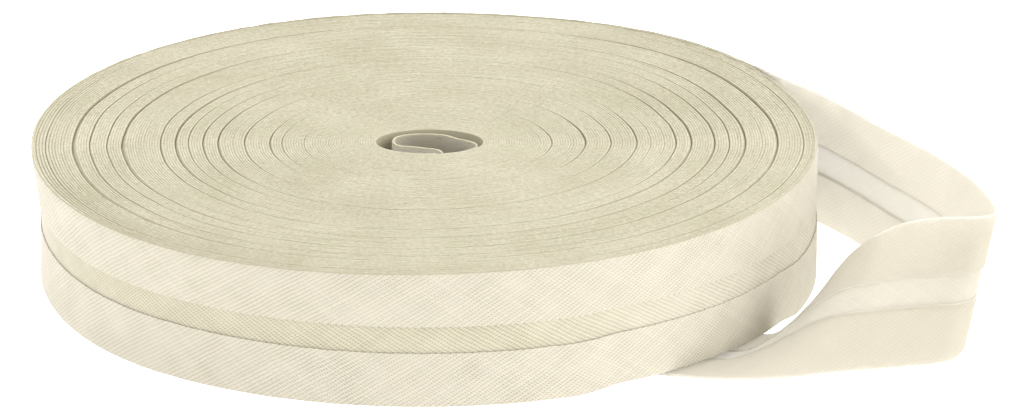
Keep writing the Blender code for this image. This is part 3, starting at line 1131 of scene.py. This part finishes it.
def make_inner_tape(settings, material):
    """The innermost stretch: a cut end, doubled back on itself in the hole, that joins the hole's wall."""
    tape = settings.tape
    apart = tape.thickness / MM + LAYER_GAP
    top = tape.width / MM - INNER_END_DROP
    ends = [0.0, INNER_END_SPREAD, INNER_END_FREE, 0.0]
    rows = [[place.x, place.y, FLOOR_CLEARANCE, place.x, place.y, top, *ends] for place in INNER_END]
    azimuth = INNER_WALL_FROM
    while azimuth >= INNER_LEAVES_AT - INNER_WALL_OVERLAP:
        rows.append(wall_row(azimuth, hole_radius(azimuth) - INNER_WALL_CLEARANCE, top))
        azimuth -= INNER_WALL_STEP
    made = read_rows(rows, INNER_TAPE_STEP)
    item, length = folded_tape("inner_tape", tape, made, apart, material, seed=11.0, fold_shows=1.0)
    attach(item, "root")
    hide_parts("inner_end")


# The stage


def soft_light(name, power, width, height, place):
    """A rectangular area light that faces the roll's foot."""
    light = bpy.data.lights.new(name, "AREA")
    light.shape = "RECTANGLE"
    light.size = width
    light.size_y = height
    light.energy = power
    item = bpy.data.objects.new(name, light)
    item.location = place
    item.rotation_euler = (LIGHTS_AIM_AT - Vector(place)).to_track_quat("-Z", "Y").to_euler()
    bpy.context.scene.collection.objects.link(item)


def make_stage(stage):
    """The floor, the lights, the world and the camera."""
    scene = bpy.context.scene
    half = FLOOR_HALF
    mesh = bpy.data.meshes.new("floor")
    corners = [(-half, -half, 0), (half, -half, 0), (half, half, 0), (-half, half, 0)]
    mesh.from_pydata(corners, [], [(0, 1, 2, 3)])
    mesh.materials.append(light_table("lit white acrylic", stage.floor, stage.floor_glow))
    floor = bpy.data.objects.new("floor", mesh)
    scene.collection.objects.link(floor)

    world = bpy.data.worlds.new("Pale room")
    world.use_nodes = True
    background = world.node_tree.nodes["Background"].inputs
    background["Color"].default_value = (1.0, 1.0, 1.0, 1.0)
    background["Strength"].default_value = stage.sky
    scene.world = world
    soft_light("Top light", stage.top_power, 2.0, 1.4, (0.0, 0.2, 1.8))
    soft_light("Left light", stage.left_power, 0.5, 0.5, (-1.6, -0.35, 0.95))
    soft_light("Right light", stage.right_power, 1.7, 1.4, (1.5, -0.75, 0.8))
    soft_light("Back light", stage.back_power, 2.4, 1.0, (0.4, 1.8, 0.5))

    camera = bpy.data.cameras.new("Camera")
    camera.sensor_fit = "HORIZONTAL"
    camera.sensor_width = 36.0
    camera.lens = CAMERA_LENS
    camera.clip_start = 0.05
    camera.clip_end = 50.0
    viewer = bpy.data.objects.new("Camera", camera)
    back = Vector((0.0, -cos(radians(CAMERA_ELEVATION)), sin(radians(CAMERA_ELEVATION))))
    viewer.location = CAMERA_TARGET + back * CAMERA_DISTANCE
    viewer.rotation_euler = (radians(90.0 - CAMERA_ELEVATION), 0.0, 0.0)
    scene.collection.objects.link(viewer)
    scene.camera = viewer
    scene.view_settings.view_transform = "Standard"


# Operators, panel and registration


class BINDING_OT_wound_turns(bpy.types.Operator):
    """Make the wound turns of the roll"""

    bl_idname = "binding.wound_turns"
    bl_label = "Wound turns"

    def execute(self, context):
        make_wound_turns(context.scene.binding)
        return {"FINISHED"}


class BINDING_OT_outer_tape(bpy.types.Operator):
    """Make the outermost turn and the loose outer end"""

    bl_idname = "binding.outer_tape"
    bl_label = "Outer turn and loose end"

    def execute(self, context):
        make_outer_tape(context.scene.binding, cloth_material(context.scene.binding))
        return {"FINISHED"}


class BINDING_OT_inner_tape(bpy.types.Operator):
    """Make the loose inner end in the centre hole"""

    bl_idname = "binding.inner_tape"
    bl_label = "Inner end"

    def execute(self, context):
        make_inner_tape(context.scene.binding, cloth_material(context.scene.binding))
        return {"FINISHED"}


class BINDING_OT_stage(bpy.types.Operator):
    """Make the floor, the lights and the camera"""

    bl_idname = "binding.stage"
    bl_label = "Stage"

    def execute(self, context):
        make_stage(context.scene.binding.stage)
        return {"FINISHED"}


class BindingSettings(bpy.types.PropertyGroup):
    """All settings of the roll of binding."""

    tape: bpy.props.PointerProperty(type=TapeSettings, name="Tape", description="The folded tape")
    weave: bpy.props.PointerProperty(type=WeaveSettings, name="Weave", description="The cloth's weave")
    roll: bpy.props.PointerProperty(type=RollSettings, name="Roll", description="The wound turns")
    stage: bpy.props.PointerProperty(type=StageSettings, name="Stage", description="The floor and the light")


class BINDING_PT_panel(bpy.types.Panel):
    """The settings and the pieces of the roll of binding"""

    bl_idname = "BINDING_PT_panel"
    bl_label = "Roll of binding"
    bl_space_type = "VIEW_3D"
    bl_region_type = "UI"
    bl_category = "Binding"

    def draw(self, context):
        for group in ("tape", "weave", "roll", "stage"):
            box = self.layout.box()
            box.label(text=group.capitalize())
            settings = getattr(context.scene.binding, group)
            for field in settings.bl_rna.properties.keys():
                if field not in ("rna_type", "name"):
                    box.prop(settings, field)
        for operator in PIECES:
            self.layout.operator(operator.bl_idname)


PIECES = (BINDING_OT_wound_turns, BINDING_OT_outer_tape, BINDING_OT_inner_tape, BINDING_OT_stage)
GROUPS = (TapeSettings, WeaveSettings, RollSettings, StageSettings, BindingSettings)
CLASSES = (*GROUPS, *PIECES, BINDING_PT_panel)


def register():
    for item in CLASSES:
        bpy.utils.register_class(item)
    bpy.types.Scene.binding = bpy.props.PointerProperty(
        type=BindingSettings, name="Binding", description="Settings of the roll of binding"
    )


def unregister():
    del bpy.types.Scene.binding
    for item in reversed(CLASSES):
        bpy.utils.unregister_class(item)


def main():
    register()
    bpy.ops.binding.wound_turns()
    bpy.ops.binding.outer_tape()
    bpy.ops.binding.inner_tape()
    bpy.ops.binding.stage()


if __name__ == "__main__":
    main()
